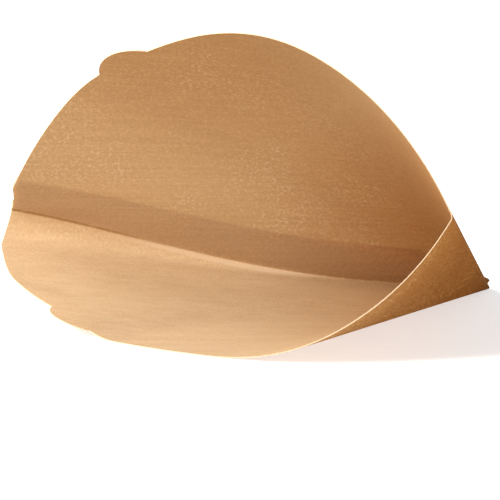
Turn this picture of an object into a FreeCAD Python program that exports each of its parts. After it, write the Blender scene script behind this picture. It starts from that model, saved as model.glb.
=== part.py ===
import FreeCAD, Part
import math
import os

# A paper coffee filter, opened by hand and lying on its side.
# It is one sheet: two panels joined by a fold on one side and by a crimped seam on the other,
# which meet at the tip. The seam's allowance is folded up behind the back panel.
# The panels are a cone with its point at the tip. Every ruling of the cone starts there, and
# the shape of the mouth is set by directions seen from the tip: an azimuth, which grows from
# the seam round to the fold, and an elevation above the surface that the filter lies on.

# Sizes of the sheet, in millimetres
panel_radius = 117.0
paper = 0.25
tab_rise = 3.6
tab_curve = 11.0
tab_reach = 8.0
seam_allowance = 12.0
allowance_at_tip = 2.2
allowance_slant = 19.0
slant_reach = 6.0
slant_depth = 6.0
allowance_gap = 0.3
allowance_root = 0.8
fold_setback = 1.2
crease_setback = 2.0
seam_dip = 1.6
seam_dip_radius = 30.0

# The crimp that holds the seam: grooves pressed across the allowance
crimp_width = 8.0
crimp_pitch = 2.4
crimp_radius = 0.7
crimp_depth = 0.12
crimp_from_tip = 7.0
crimp_from_mouth = 4.0

# The opened shape, in degrees: (azimuth, elevation) seen from the tip. The back runs from the
# seam to the fold, and each side of the front runs from the flat stretch outwards.
seam_end = (5.5, 10.3)
fold_end = (84.2, 17.0)
back_arch = [(10.4, 14.8), (15.7, 20.5), (22.5, 27.3), (32.0, 32.3), (43.0, 36.2),
             (55.0, 37.1), (66.0, 34.3), (76.0, 28.0)]
front_by_seam = [(34.0, 1.4), (28.0, 2.3), (15.0, 3.8), (8.5, 5.6), (5.2, 7.8)]
front_by_fold = [(66.0, 1.5), (73.0, 4.9), (79.5, 10.5)]
flat_start = 41.0
flat_end = 55.0
tab_angle = 31.1
allowance_lean = 5.0

# The seam's crease sags towards the tip, and the back panel follows it as far as this azimuth
tip_elevation = 3.2
tip_narrowing = 2.0
sag_reach = 50.0

# The middle of the flat stretch that the filter lies on, which is the model's origin
rest_azimuth = 46.0
rest_reach = 62.0

# Where the cross-sections stand, measured from the tip along the middle of the opening
middle_azimuth = 47.0
outer_stations = [1.0, 5.0, 12.0, 22.0, 34.0, 48.0, 62.0, 78.0, 98.0, 124.0]
inner_stations = [3.0, 6.0, 12.0, 22.0, 34.0, 48.0, 62.0, 78.0, 98.0, 126.0]
full_bend_station = 12.0
samples = 15

# How finely the tab's place is looked for round the mouth, and what counts as level
mouth_steps = 400
level_error = 0.01

UP = FreeCAD.Vector(0.0, 0.0, 1.0)


def direction(azimuth, elevation):
    a = math.radians(azimuth)
    e = math.radians(elevation)
    return FreeCAD.Vector(-math.cos(e) * math.cos(a), -math.cos(e) * math.sin(a), math.sin(e))


def unit(vector):
    return vector * (1.0 / vector.Length)


MIDDLE = direction(middle_azimuth, 0.0)


def on_station(ray, station):
    """The point where a ruling passes a cross-section's plane."""
    return ray * (station / ray.dot(MIDDLE))


def slide(step, ray):
    """A step moved along its ruling until it stays in the cross-section's plane."""
    return step - ray * (step.dot(MIDDLE) / ray.dot(MIDDLE))


def opening(station):
    """How far the filter has opened: 0 at the tip, where the panels lie close, and 1 at the mouth."""
    reach = station / direction(*seam_end).dot(MIDDLE)
    return math.sin(0.5 * math.pi * min(reach / panel_radius, 1.0)) ** 2


def crease_elevation(station):
    return tip_elevation + (seam_end[1] - tip_elevation) * opening(station)


def back_directions(station):
    """Directions of the back panel, from the seam's crease to the fold."""
    lowered = seam_end[1] - crease_elevation(station)
    found = []
    for azimuth, elevation in [seam_end] + back_arch + [fold_end]:
        left = max(0.0, (sag_reach - azimuth) / (sag_reach - seam_end[0]))
        found.append(direction(azimuth, elevation - lowered * left ** 2))
    return found


def front_directions(station):
    """Directions of the front panel, from where it lies flat to the seam's crease. It runs
    straight near the tip, and bulges below the crease at the mouth."""
    opened = opening(station)
    found = [direction(flat_start, 0.0)]
    for azimuth, elevation in front_by_seam:
        straight = tip_elevation * (flat_start - azimuth) / (flat_start - seam_end[0])
        found.append(direction(azimuth + tip_narrowing * (1.0 - opened),
                               elevation * opened + straight * (1.0 - opened)))
    return found + [direction(seam_end[0], crease_elevation(station))]


def curve_through(points, starts_level=False):
    """A smooth curve through points."""
    lengths = [0.0]
    for first, second in zip(points, points[1:]):
        lengths.append(lengths[-1] + (second - first).Length)
    curve = Part.BSplineCurve()
    if not starts_level:
        curve.interpolate(Points=points, Parameters=lengths)
        return curve
    onward = points[-1] - points[0]
    level = unit(onward - UP * onward.z)
    flags = [True] + [False] * (len(points) - 1)
    curve.interpolate(Points=points, Parameters=lengths, Tangents=[level] * len(points),
                      TangentFlags=flags)
    return curve


def along(curve, length, from_end=False):
    """The parameter at a length from one end of a curve."""
    if from_end:
        return curve.parameterAtDistance(-length, curve.LastParameter)
    return curve.parameterAtDistance(length, curve.FirstParameter)


def sampled(curve, first, last):
    """Points and tangents at even steps from one parameter of a curve to another."""
    onward = 1.0 if last > first else -1.0
    found = []
    for i in range(samples):
        at = first + (last - first) * i / (samples - 1)
        found.append((curve.value(at), unit(curve.getD1(at)[1]) * onward))
    return found


def edge_through(points):
    parameters = [i / (len(points) - 1) for i in range(len(points))]
    curve = Part.BSplineCurve()
    curve.interpolate(Points=points, Parameters=parameters)
    return curve.toShape()


def inward(point, tangent):
    """One paper thickness into the cone from a point of its outer skin."""
    ray = unit(point)
    normal = unit(tangent.cross(ray))
    return point + slide(normal * paper, ray)


class Section:
    """The outer skin's curves at one cross-section, in order from the crease over the back
    panel, round the fold and back along the front panel."""

    def __init__(self, station):
        self.station = station
        self.small = min(1.0, station / full_bend_station)
        back_rays = back_directions(station)
        seam_rays = front_directions(station)
        fold_rays = [direction(flat_end, 0.0)]
        fold_rays += [direction(*pair) for pair in front_by_fold + [fold_end]]
        self.back = curve_through([on_station(ray, station) for ray in back_rays])
        self.by_fold = curve_through([on_station(ray, station) for ray in fold_rays], starts_level=True)
        self.by_seam = curve_through([on_station(ray, station) for ray in seam_rays], starts_level=True)
        self.crease = self.back.value(self.back.FirstParameter)
        self.crease_ray = unit(self.crease)

    def fold_bend(self):
        """The rounded bend between the panels, as points with tangents."""
        setback = fold_setback * self.small
        last = self.back.value(along(self.back, setback, from_end=True))
        corner = self.back.value(self.back.LastParameter)
        first = self.by_fold.value(along(self.by_fold, setback, from_end=True))
        bend = Part.BezierCurve()
        bend.setPoles([last, corner, first])
        return sampled(bend, 0.0, 1.0)

    def back_skin(self, start):
        setback = fold_setback * self.small
        return sampled(self.back, along(self.back, start), along(self.back, setback, from_end=True))

    def by_fold_skin(self):
        setback = fold_setback * self.small
        return sampled(self.by_fold, along(self.by_fold, setback, from_end=True), self.by_fold.FirstParameter)

    def flat_ends(self):
        return [on_station(direction(flat_end, 0.0), self.station),
                on_station(direction(flat_start, 0.0), self.station)]

    def by_seam_skin(self, start):
        return sampled(self.by_seam, self.by_seam.FirstParameter, along(self.by_seam, start, from_end=True))

    def seam_frame(self):
        """Directions up the back panel at its crease, and out of it, square to the crease."""
        tangent = self.back.getD1(self.back.FirstParameter)[1]
        rise = unit(tangent - self.crease_ray * tangent.dot(self.crease_ray))
        return rise, unit(self.crease_ray.cross(rise))

    def seam_point(self, rise, out):
        rise_step, out_step = self.seam_frame()
        step = rise_step * rise + out_step * out
        return self.crease + slide(step, self.crease_ray)


def outer_wire(station):
    """The whole outer outline of a cross-section, with the allowance behind the back panel."""
    section = Section(station)
    root = allowance_root
    lean = math.tan(math.radians(allowance_lean)) * seam_allowance
    slot_back = section.back_skin(root)
    slot_in = section.seam_point(root, allowance_gap)
    tip_in = section.seam_point(seam_allowance, allowance_gap + lean)
    tip_out = section.seam_point(seam_allowance, allowance_gap + lean + 2.0 * paper)
    root_out = section.seam_point(root, allowance_gap + 2.0 * paper)
    by_seam = section.by_seam_skin(crease_setback * section.small)
    bend = Part.BezierCurve()
    before = by_seam[-1][0]
    bend.setPoles([before, before + (before - by_seam[-2][0]) * 2.0,
                   section.seam_point(-root, allowance_gap + 2.0 * paper), root_out])
    by_fold = section.by_fold_skin()
    edges = [
        edge_through([p for p, t in slot_back]),
        edge_through([p for p, t in section.fold_bend()]),
        edge_through([p for p, t in by_fold]),
        Part.LineSegment(*section.flat_ends()).toShape(),
        edge_through([p for p, t in by_seam]),
        edge_through([p for p, t in sampled(bend, 0.0, 1.0)]),
        Part.LineSegment(root_out, tip_out).toShape(),
        Part.LineSegment(tip_out, tip_in).toShape(),
        Part.LineSegment(tip_in, slot_in).toShape(),
        Part.LineSegment(slot_in, slot_back[0][0]).toShape(),
    ]
    return Part.Wire(edges)


def inner_wire(station):
    """The outline of the hollow at a cross-section."""
    section = Section(station)
    back_start = section.back_skin(0.0)[0][1]
    seam_start = section.by_seam_skin(0.0)[-1][1]
    from_back = unit(back_start.cross(section.crease_ray))
    from_front = unit(seam_start.cross(section.crease_ray))
    mitre = (from_back + from_front) * (paper / (1.0 + from_back.dot(from_front)))
    corner = section.crease + slide(mitre, section.crease_ray)
    back = section.back_skin(max(level_error, mitre.dot(back_start)))
    by_seam = section.by_seam_skin(max(level_error, -mitre.dot(seam_start)))
    flat = [point + UP * paper for point in section.flat_ends()]
    back_points = [corner] + [inward(*pair) for pair in back[1:]]
    fold_points = [inward(*pair) for pair in section.fold_bend()]
    by_fold_points = [inward(*pair) for pair in section.by_fold_skin()]
    by_seam_points = [inward(*pair) for pair in by_seam[:-1]] + [corner]
    fold_points[0] = back_points[-1]
    by_fold_points[0] = fold_points[-1]
    by_fold_points[-1] = flat[0]
    by_seam_points[0] = flat[1]
    edges = [edge_through(back_points), edge_through(fold_points), edge_through(by_fold_points),
             Part.LineSegment(*flat).toShape(), edge_through(by_seam_points)]
    return Part.Wire(edges)


def station_at(reach):
    """The cross-section that the seam's crease passes at a distance from the tip."""
    station = reach * direction(*seam_end).dot(MIDDLE)
    return reach * direction(seam_end[0], crease_elevation(station)).dot(MIDDLE)


def tab_ray(curve, backwards):
    """The ruling and the tangent at the tab's middle, measured round the mouth from the seam."""
    first, last = curve.FirstParameter, curve.LastParameter
    if backwards:
        first, last = last, first
    turned = 0.0
    before = unit(curve.value(first))
    for i in range(1, mouth_steps + 1):
        at = first + (last - first) * i / mouth_steps
        ray = unit(curve.value(at))
        turned += math.degrees(ray.getAngle(before))
        before = ray
        if turned >= tab_angle:
            break
    return ray, unit(curve.getD1(at)[1])


def tab_disc(curve, backwards):
    """A disc across the sheet, whose rim cuts the tab's round edge."""
    ray, tangent = tab_ray(curve, backwards)
    normal = unit(tangent.cross(ray))
    centre = ray * (panel_radius + tab_rise - tab_curve)
    return Part.makeCylinder(tab_curve, 2.0 * tab_reach, centre - normal * tab_reach, normal)


def mouth_tool():
    """The space inside which the sheet is kept: a ball about the tip, with the two tabs, less
    the dip where the seam's layers draw the edge in."""
    mouth = Section(station_at(panel_radius))
    ball = Part.makeSphere(panel_radius)
    tool = ball.fuse([tab_disc(mouth.back, False), tab_disc(mouth.by_seam, True)])
    dip_centre = mouth.crease_ray * (panel_radius - seam_dip + seam_dip_radius)
    return tool.cut(Part.makeSphere(seam_dip_radius, dip_centre))


class AllowanceFrame:
    """Directions at one place on the crease: along it from the tip, up the allowance, and out."""

    def __init__(self, reach):
        section = Section(station_at(reach))
        flat_rise, flat_out = section.seam_frame()
        lean = math.radians(allowance_lean)
        self.foot = section.crease
        self.onward = section.crease_ray
        self.rise = flat_rise * math.cos(lean) + flat_out * math.sin(lean)
        self.out = flat_out * math.cos(lean) - flat_rise * math.sin(lean)

    def point(self, onward, rise, out):
        return self.foot + self.onward * onward + self.rise * rise + self.out * out


def slant_cutter():
    """What comes off the allowance towards the tip, where it is cut aslant."""
    frame = AllowanceFrame(slant_reach)
    start = -slant_reach
    above = 2.0 * seam_allowance
    outline = [(2.0 * start, allowance_at_tip), (start, allowance_at_tip),
               (start + allowance_slant, seam_allowance), (start + allowance_slant, above),
               (2.0 * start, above)]
    corners = [frame.point(onward, rise, 0.5 * allowance_gap) for onward, rise in outline]
    return Part.Face(Part.makePolygon(corners + corners[:1])).extrude(frame.out * slant_depth)


def crimp_cutters():
    """Rods that press the crimp's grooves into the allowance's outer face."""
    lift = allowance_gap + 2.0 * paper + crimp_radius - crimp_depth
    rods = []
    reach = crimp_from_tip
    while reach < panel_radius - crimp_from_mouth:
        frame = AllowanceFrame(reach)
        foot = frame.point(0.0, allowance_root + paper, lift)
        rods.append(Part.makeCylinder(crimp_radius, crimp_width, foot, frame.rise))
        reach += crimp_pitch
    return rods


def with_level_rest(sheet):
    """The solid with a true plane for the flat stretch that it lies on."""
    floor = Part.Plane(FreeCAD.Vector(0.0, 0.0, 0.0), -UP)
    faces = []
    for face in sheet.Faces:
        box = face.BoundBox
        if max(abs(box.ZMin), abs(box.ZMax)) < level_error:
            face = Part.Face(floor, face.OuterWire)
        faces.append(face)
    return Part.makeSolid(Part.makeShell(faces))


def coffee_filter():
    outer = Part.makeLoft([outer_wire(station) for station in outer_stations], True, False)
    hollow = Part.makeLoft([inner_wire(station) for station in inner_stations], True, False)
    sheet = outer.cut(hollow).common(mouth_tool())
    sheet = sheet.cut(slant_cutter())
    sheet = sheet.cut(crimp_cutters())
    sheet.translate(direction(rest_azimuth, 0.0) * -rest_reach)
    return with_level_rest(sheet.Solids[0])


if __name__ == "__main__":
    os.makedirs("parts", exist_ok=True)
    solid = coffee_filter()
    print(solid.isValid(), solid.ShapeType, len(solid.Solids), len(solid.Faces), solid.Volume, solid.BoundBox)
    solid.exportStep("parts/coffee_filter.step")
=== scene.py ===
import math

import bpy
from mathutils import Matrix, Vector

# The look of the opened paper coffee filter: its paper, the light, the floor and the camera.
# Lengths are in metres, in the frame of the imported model.

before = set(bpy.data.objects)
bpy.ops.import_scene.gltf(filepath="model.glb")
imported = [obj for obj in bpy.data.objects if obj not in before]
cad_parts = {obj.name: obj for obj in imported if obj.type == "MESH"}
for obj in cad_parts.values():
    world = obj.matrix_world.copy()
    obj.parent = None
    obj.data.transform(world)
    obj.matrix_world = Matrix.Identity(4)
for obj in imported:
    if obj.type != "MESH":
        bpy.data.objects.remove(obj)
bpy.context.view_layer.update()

# The filter's tip, the point of its cone
REST_REACH = 0.062
REST_AZIMUTH = math.radians(46.0)
TIP = Vector((REST_REACH * math.cos(REST_AZIMUTH), REST_REACH * math.sin(REST_AZIMUTH), 0.0))

# The seam's crease: how high it runs above the floor near the tip and at the mouth, and how far
# to the side, as angles seen from the tip
PANEL_RADIUS = 0.117
CREASE_AT_TIP = math.radians(3.2)
CREASE_AT_MOUTH = math.radians(10.3)
CREASE_SIDE = math.radians(8.0)
CREASE_SIDE_START = 0.8 * CREASE_SIDE

# A painted highlight along the bend of the crease and a painted dark line of shade on it: their
# widths, the softness of their edges, and where along the crease they come and go, as shares of its
# length
CREASE_WIDTH = 0.0009
LINE_WIDTH = 0.0003
SOFT_EDGE = 1.6
LINE_CORE = 0.5
HIGHLIGHT_COMES = (0.28, 0.42)
HIGHLIGHT_GOES = (0.66, 0.82)
LINE_COMES = (0.62, 0.8)
HIGHLIGHT_STRENGTH = 0.8
LINE_STRENGTH = 0.8

# The camera: a long lens, a little above the floor. The tip is right of the picture's middle
# and below it.
CAMERA_ELEVATION = math.radians(9.0)
CAMERA_DISTANCE = 2.179
CAMERA_LENS = 662.0
CAMERA_SENSOR = 36.0
CAMERA_REACH = 10.0
TIP_RIGHT = 0.05692
TIP_BELOW = 0.00907

# Paper, as linear colours
WHITE = (1.0, 1.0, 1.0, 1.0)
LIGHT_FIBRE = (0.65, 0.465, 0.28, 1.0)
DARK_FIBRE = (0.54, 0.365, 0.205, 1.0)
PALE_FIBRE = (0.86, 0.64, 0.38, 1.0)
SHINING_THROUGH = (0.68, 0.34, 0.10, 1.0)
# Lighter paper for the cut edge, partly its own colour and partly a painted highlight; it is also
# the colour of the crease's painted highlight
EDGE_AND_HIGHLIGHT_COLOUR = (0.72, 0.54, 0.36, 1.0)
CREASE_SHADE = (0.30, 0.14, 0.05, 1.0)

# Painted shade: the paper is coloured darker and warmer towards the tip, and less darkly towards the
# top, where the light falls off
PAINTED_SHADE_COLOUR = (0.74, 0.54, 0.33, 1.0)
SHADE_BY_TIP = (-0.02, 0.045)
SHADE_BY_TOP = (0.025, 0.07)
TOP_SHADE_SHARE = 0.55

# The paper's fibres: sizes, noise detail, and the noise values between which they come up
CLOUD_SIZE = 0.016
CLOUD_DETAIL = 2.0
CLOUD_RANGE = (0.35, 0.7)
SPECK_SIZE = 0.0007
SPECK_DETAIL = 4.0
SPECK_RANGE = (0.44, 0.72)
FIBRE_SIZE = 0.0004
FIBRE_DETAIL = 2.0
GRAIN_STRETCH = (25.0, 420.0, 1500.0)
GRAIN_DETAIL = 2.0
MOTTLE_RANGE = (0.3, 0.7)
GRAIN_SHARE = 0.4
FIBRE_SHARE = 0.6
PALE_BETWEEN_CLOUDS = 0.45
PALE_IN_CLOUDS = 0.9
PALE_STRENGTH = 0.5
GRAIN_DEPTH = 0.00004
FIBRE_DEPTH = 0.00004

# The paper's surface, and the share of light that it passes on, which grows where it is pale
ROUGHNESS = 0.85
SPECULAR = 0.15
RELIEF_STRENGTH = 0.5
PASSED_ON = 0.25
PASSED_BY_PALE = (0.9, 1.8)

# How squarely a face looks away from the tip, where the cut edge's lighter colour, partly its own
# and partly a painted highlight, starts and is full
EDGE_FACING = (0.6, 0.9)

# The floor and the room's light
FLOOR_SIZE = 6.0
FLOOR_DROP = 0.00005
FLOOR_COLOUR = (0.85, 0.85, 0.85, 1.0)
FLOOR_BOUNCE = (0.34, 0.28, 0.22, 1.0)
FLOOR_GLOW = 0.62
ROOM_COLOUR = (1.0, 0.99, 0.97, 1.0)
ROOM_STRENGTH = 0.24

# Lamps: name, place, size and power in watts
LAMP_COLOUR = (1.0, 0.98, 0.95)
LAMPS = [
    ("front_left", (-0.42, -0.36, 0.42), 0.25, 6.7),
    ("low_left", (-0.19, -0.15, 0.05), 0.1, 0.2),
    ("behind_left", (-0.40, 0.22, 0.25), 0.3, 2.2),
]

# Sockets of the colour mix node, which has a set of them for each kind of data
MIX_FACTOR = 0
MIX_FIRST = 6
MIX_SECOND = 7
MIX_RESULT = 2


class Graph:
    """A node tree that is filled by short calls."""

    def __init__(self, tree):
        self.nodes = tree.nodes
        self.links = tree.links
        self.nodes.clear()

    def add(self, kind, settings=None, **inputs):
        node = self.nodes.new(kind)
        for name, value in (settings or {}).items():
            setattr(node, name, value)
        for name, value in inputs.items():
            self.put(node.inputs[name.replace("_", " ")], value)
        return node

    def put(self, socket, value):
        """Gives a socket a value, or links it to another node's output."""
        if isinstance(value, bpy.types.NodeSocket):
            self.links.new(value, socket)
        else:
            socket.default_value = value

    def put_all(self, node, values):
        """Fills a node's first sockets in order."""
        for socket, value in zip(node.inputs, values):
            self.put(socket, value)

    def math(self, operation, *values):
        node = self.add("ShaderNodeMath", {"operation": operation})
        self.put_all(node, values)
        return node.outputs[0]

    def product(self, *values):
        result = values[0]
        for value in values[1:]:
            result = self.math("MULTIPLY", result, value)
        return result

    def vector(self, operation, *values):
        node = self.add("ShaderNodeVectorMath", {"operation": operation})
        self.put_all(node, values)
        scalar = operation in ("LENGTH", "DOT_PRODUCT")
        return node.outputs["Value" if scalar else "Vector"]

    def ramp(self, value, start, end, low=0.0, high=1.0):
        """A smooth step from low to high while value goes from start to end."""
        return self.add("ShaderNodeMapRange", {"interpolation_type": "SMOOTHSTEP"}, Value=value,
                        From_Min=start, From_Max=end, To_Min=low, To_Max=high).outputs[0]

    def noise(self, place, scale, detail):
        return self.add("ShaderNodeTexNoise", Vector=place, Scale=scale, Detail=detail).outputs[0]

    def blend(self, factor, first, second):
        node = self.add("ShaderNodeMix", {"data_type": "RGBA"})
        self.put(node.inputs[MIX_FACTOR], factor)
        self.put(node.inputs[MIX_FIRST], first)
        self.put(node.inputs[MIX_SECOND], second)
        return node.outputs[MIX_RESULT]

    def mixed(self, factor, first, second):
        node = self.add("ShaderNodeMixShader")
        self.put_all(node, (factor, first, second))
        return node.outputs[0]


def new_material(name):
    material = bpy.data.materials.new(name)
    material.use_nodes = True
    return material, Graph(material.node_tree)


def crease_masks(graph, from_tip):
    """Two narrow stretches along the seam's crease, on the front panel: a painted highlight on the
    bend of the fold, which shows along its middle, and a painted dark line of shade where the panels
    meet by the mouth."""
    reach = graph.vector("LENGTH", from_tip)
    ray = graph.add("ShaderNodeSeparateXYZ", Vector=graph.vector("NORMALIZE", from_tip))
    elevation = graph.math("ARCSINE", ray.outputs["Z"])
    azimuth = graph.math("ARCTAN2", graph.math("MULTIPLY", ray.outputs["Y"], -1.0),
                         graph.math("MULTIPLY", ray.outputs["X"], -1.0))
    share = graph.math("MINIMUM", graph.math("DIVIDE", reach, PANEL_RADIUS), 1.0)
    sine = graph.math("SINE", graph.math("MULTIPLY", share, 0.5 * math.pi))
    opened = graph.math("MULTIPLY", sine, sine)
    crease = graph.math("MULTIPLY_ADD", opened, CREASE_AT_MOUTH - CREASE_AT_TIP, CREASE_AT_TIP)
    below = graph.math("MULTIPLY", graph.math("SUBTRACT", crease, elevation), reach)
    beside = graph.ramp(azimuth, CREASE_SIDE_START, CREASE_SIDE, 1.0, 0.0)
    crease_highlight = graph.product(beside, graph.ramp(below, -LINE_WIDTH, 0.0),
                         graph.ramp(below, CREASE_WIDTH, SOFT_EDGE * CREASE_WIDTH, 1.0, 0.0),
                         graph.ramp(share, *HIGHLIGHT_COMES), graph.ramp(share, *HIGHLIGHT_GOES, 1.0, 0.0))
    distance = graph.math("ABSOLUTE", below)
    line = graph.product(beside, graph.ramp(distance, LINE_CORE * LINE_WIDTH,
                                            SOFT_EDGE * LINE_WIDTH, 1.0, 0.0),
                         graph.ramp(share, *LINE_COMES))
    return crease_highlight, line


def paper_material():
    """Thin unbleached paper: it reflects some of the light and lets some shine through, with
    pale fibres in loose clouds and a fine grain. Its cut edge is lighter, partly its own colour and
    partly a painted highlight; the paper is painted darker towards the tip and the top as shade, and
    along the crease it gets a painted highlight and a painted line of shade."""
    material, graph = new_material("unbleached_paper")
    place = graph.add("ShaderNodeTexCoord").outputs["Object"]
    geometry = graph.add("ShaderNodeNewGeometry")
    from_tip = graph.vector("SUBTRACT", place, TIP)
    facing_out = graph.vector("DOT_PRODUCT", geometry.outputs["True Normal"],
                              graph.vector("NORMALIZE", from_tip))
    edge = graph.ramp(facing_out, *EDGE_FACING)
    crease_highlight, line = crease_masks(graph, from_tip)

    clouds = graph.ramp(graph.noise(place, 1.0 / CLOUD_SIZE, CLOUD_DETAIL), *CLOUD_RANGE)
    specks = graph.ramp(graph.noise(place, 1.0 / SPECK_SIZE, SPECK_DETAIL), *SPECK_RANGE)
    fibres = graph.noise(place, 1.0 / FIBRE_SIZE, FIBRE_DETAIL)
    grain = graph.noise(graph.vector("MULTIPLY", place, GRAIN_STRETCH), 1.0, GRAIN_DETAIL)
    mottle = graph.math("ADD", graph.product(grain, GRAIN_SHARE), graph.product(fibres, FIBRE_SHARE))
    pale = graph.product(specks, graph.ramp(clouds, 0.0, 1.0, PALE_BETWEEN_CLOUDS, PALE_IN_CLOUDS))

    # Painted shade, darker and warmer towards the tip and the top; it also darkens the light that
    # shines through
    sides = graph.add("ShaderNodeSeparateXYZ", Vector=place)
    shade_by_tip = graph.ramp(sides.outputs["X"], *SHADE_BY_TIP)
    shade_by_top = graph.ramp(sides.outputs["Z"], *SHADE_BY_TOP, 0.0, TOP_SHADE_SHARE)
    painted_shade = graph.blend(graph.math("MAXIMUM", shade_by_tip, shade_by_top), WHITE, PAINTED_SHADE_COLOUR)

    colour = graph.blend(graph.ramp(mottle, *MOTTLE_RANGE), DARK_FIBRE, LIGHT_FIBRE)
    colour = graph.blend(graph.product(pale, PALE_STRENGTH), colour, PALE_FIBRE)
    colour = graph.vector("MULTIPLY", colour, painted_shade)
    # The cut edge gets the lighter colour, partly a painted highlight, and so does the crease's bend
    # as a painted highlight
    edge_and_highlight = graph.math("MAXIMUM", edge, graph.product(crease_highlight, HIGHLIGHT_STRENGTH))
    colour = graph.blend(edge_and_highlight, colour, EDGE_AND_HIGHLIGHT_COLOUR)
    # Painted shade: the dark line in the crease
    colour = graph.blend(graph.product(line, LINE_STRENGTH), colour, CREASE_SHADE)
    glow = graph.vector("MULTIPLY", graph.blend(pale, SHINING_THROUGH, PALE_FIBRE), painted_shade)

    depth = graph.math("ADD", graph.product(grain, GRAIN_DEPTH), graph.product(fibres, FIBRE_DEPTH))
    relief = graph.add("ShaderNodeBump", Height=depth, Strength=RELIEF_STRENGTH,
                       Distance=1.0).outputs[0]
    paper = graph.add("ShaderNodeBsdfPrincipled", Base_Color=colour, Roughness=ROUGHNESS,
                      Normal=relief, Specular_IOR_Level=SPECULAR)
    through = graph.add("ShaderNodeBsdfTranslucent", Color=glow, Normal=relief)
    share = graph.product(graph.ramp(pale, 0.0, 1.0, *PASSED_BY_PALE), PASSED_ON,
                          graph.math("SUBTRACT", 1.0, edge))
    sheet = graph.mixed(share, paper.outputs[0], through.outputs[0])

    # A ray passes the sheet's inner side as if it weren't there, so both skins act as one sheet
    inside = graph.add("ShaderNodeBsdfTransparent")
    skin = graph.mixed(geometry.outputs["Backfacing"], sheet, inside.outputs[0])
    graph.add("ShaderNodeOutputMaterial", Surface=skin)
    return material


def floor_material():
    """A pale floor that the camera sees nearly white, with the filter's shadow on it."""
    material, graph = new_material("pale_floor")
    seen = graph.add("ShaderNodeLightPath").outputs["Is Camera Ray"]
    surface = graph.add("ShaderNodeBsdfDiffuse", Color=graph.blend(seen, FLOOR_BOUNCE, FLOOR_COLOUR))
    glow = graph.add("ShaderNodeEmission", Strength=graph.product(seen, FLOOR_GLOW))
    both = graph.add("ShaderNodeAddShader")
    graph.put_all(both, (surface.outputs[0], glow.outputs[0]))
    graph.add("ShaderNodeOutputMaterial", Surface=both.outputs[0])
    return material


def add_floor():
    half = 0.5 * FLOOR_SIZE
    corners = [(-half, -half, -FLOOR_DROP), (half, -half, -FLOOR_DROP),
               (half, half, -FLOOR_DROP), (-half, half, -FLOOR_DROP)]
    mesh = bpy.data.meshes.new("floor")
    mesh.from_pydata(corners, [], [(0, 1, 2, 3)])
    mesh.materials.append(floor_material())
    floor = bpy.data.objects.new("floor", mesh)
    bpy.context.scene.collection.objects.link(floor)


def add_light(name, place, size, power):
    """A soft lamp that points at the filter and that the camera doesn't see."""
    light = bpy.data.lights.new(name, "AREA")
    light.size = size
    light.energy = power
    light.color = LAMP_COLOUR
    lamp = bpy.data.objects.new(name, light)
    lamp.location = place
    lamp.visible_camera = False
    lamp.rotation_mode = "QUATERNION"
    lamp.rotation_quaternion = (-Vector(place)).to_track_quat("-Z", "Y")
    bpy.context.scene.collection.objects.link(lamp)


def add_room_light():
    """An even light from all around, dimmer than the white that the camera sees behind it."""
    world = bpy.data.worlds.new("room")
    world.use_nodes = True
    bpy.context.scene.world = world
    graph = Graph(world.node_tree)
    seen = graph.add("ShaderNodeLightPath").outputs["Is Camera Ray"]
    strength = graph.math("MAXIMUM", seen, ROOM_STRENGTH)
    room = graph.add("ShaderNodeBackground", Color=ROOM_COLOUR, Strength=strength)
    graph.add("ShaderNodeOutputWorld", Surface=room.outputs[0])


def add_camera():
    onward = Vector((0.0, math.cos(CAMERA_ELEVATION), -math.sin(CAMERA_ELEVATION)))
    upward = Vector((0.0, math.sin(CAMERA_ELEVATION), math.cos(CAMERA_ELEVATION)))
    aim = TIP - Vector((TIP_RIGHT, 0.0, 0.0)) + upward * TIP_BELOW
    camera = bpy.data.cameras.new("camera")
    camera.lens = CAMERA_LENS
    camera.sensor_width = CAMERA_SENSOR
    camera.clip_end = CAMERA_REACH
    stand = bpy.data.objects.new("camera", camera)
    stand.location = aim - onward * CAMERA_DISTANCE
    stand.rotation_euler = (math.radians(90.0) - CAMERA_ELEVATION, 0.0, 0.0)
    bpy.context.scene.collection.objects.link(stand)
    bpy.context.scene.camera = stand


coffee_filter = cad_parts["coffee_filter"]
coffee_filter.data.materials.clear()
coffee_filter.data.materials.append(paper_material())

add_floor()
add_room_light()
for lamp_name, lamp_place, lamp_size, lamp_power in LAMPS:
    add_light(lamp_name, lamp_place, lamp_size, lamp_power)
add_camera()
bpy.context.scene.view_settings.view_transform = "Standard"
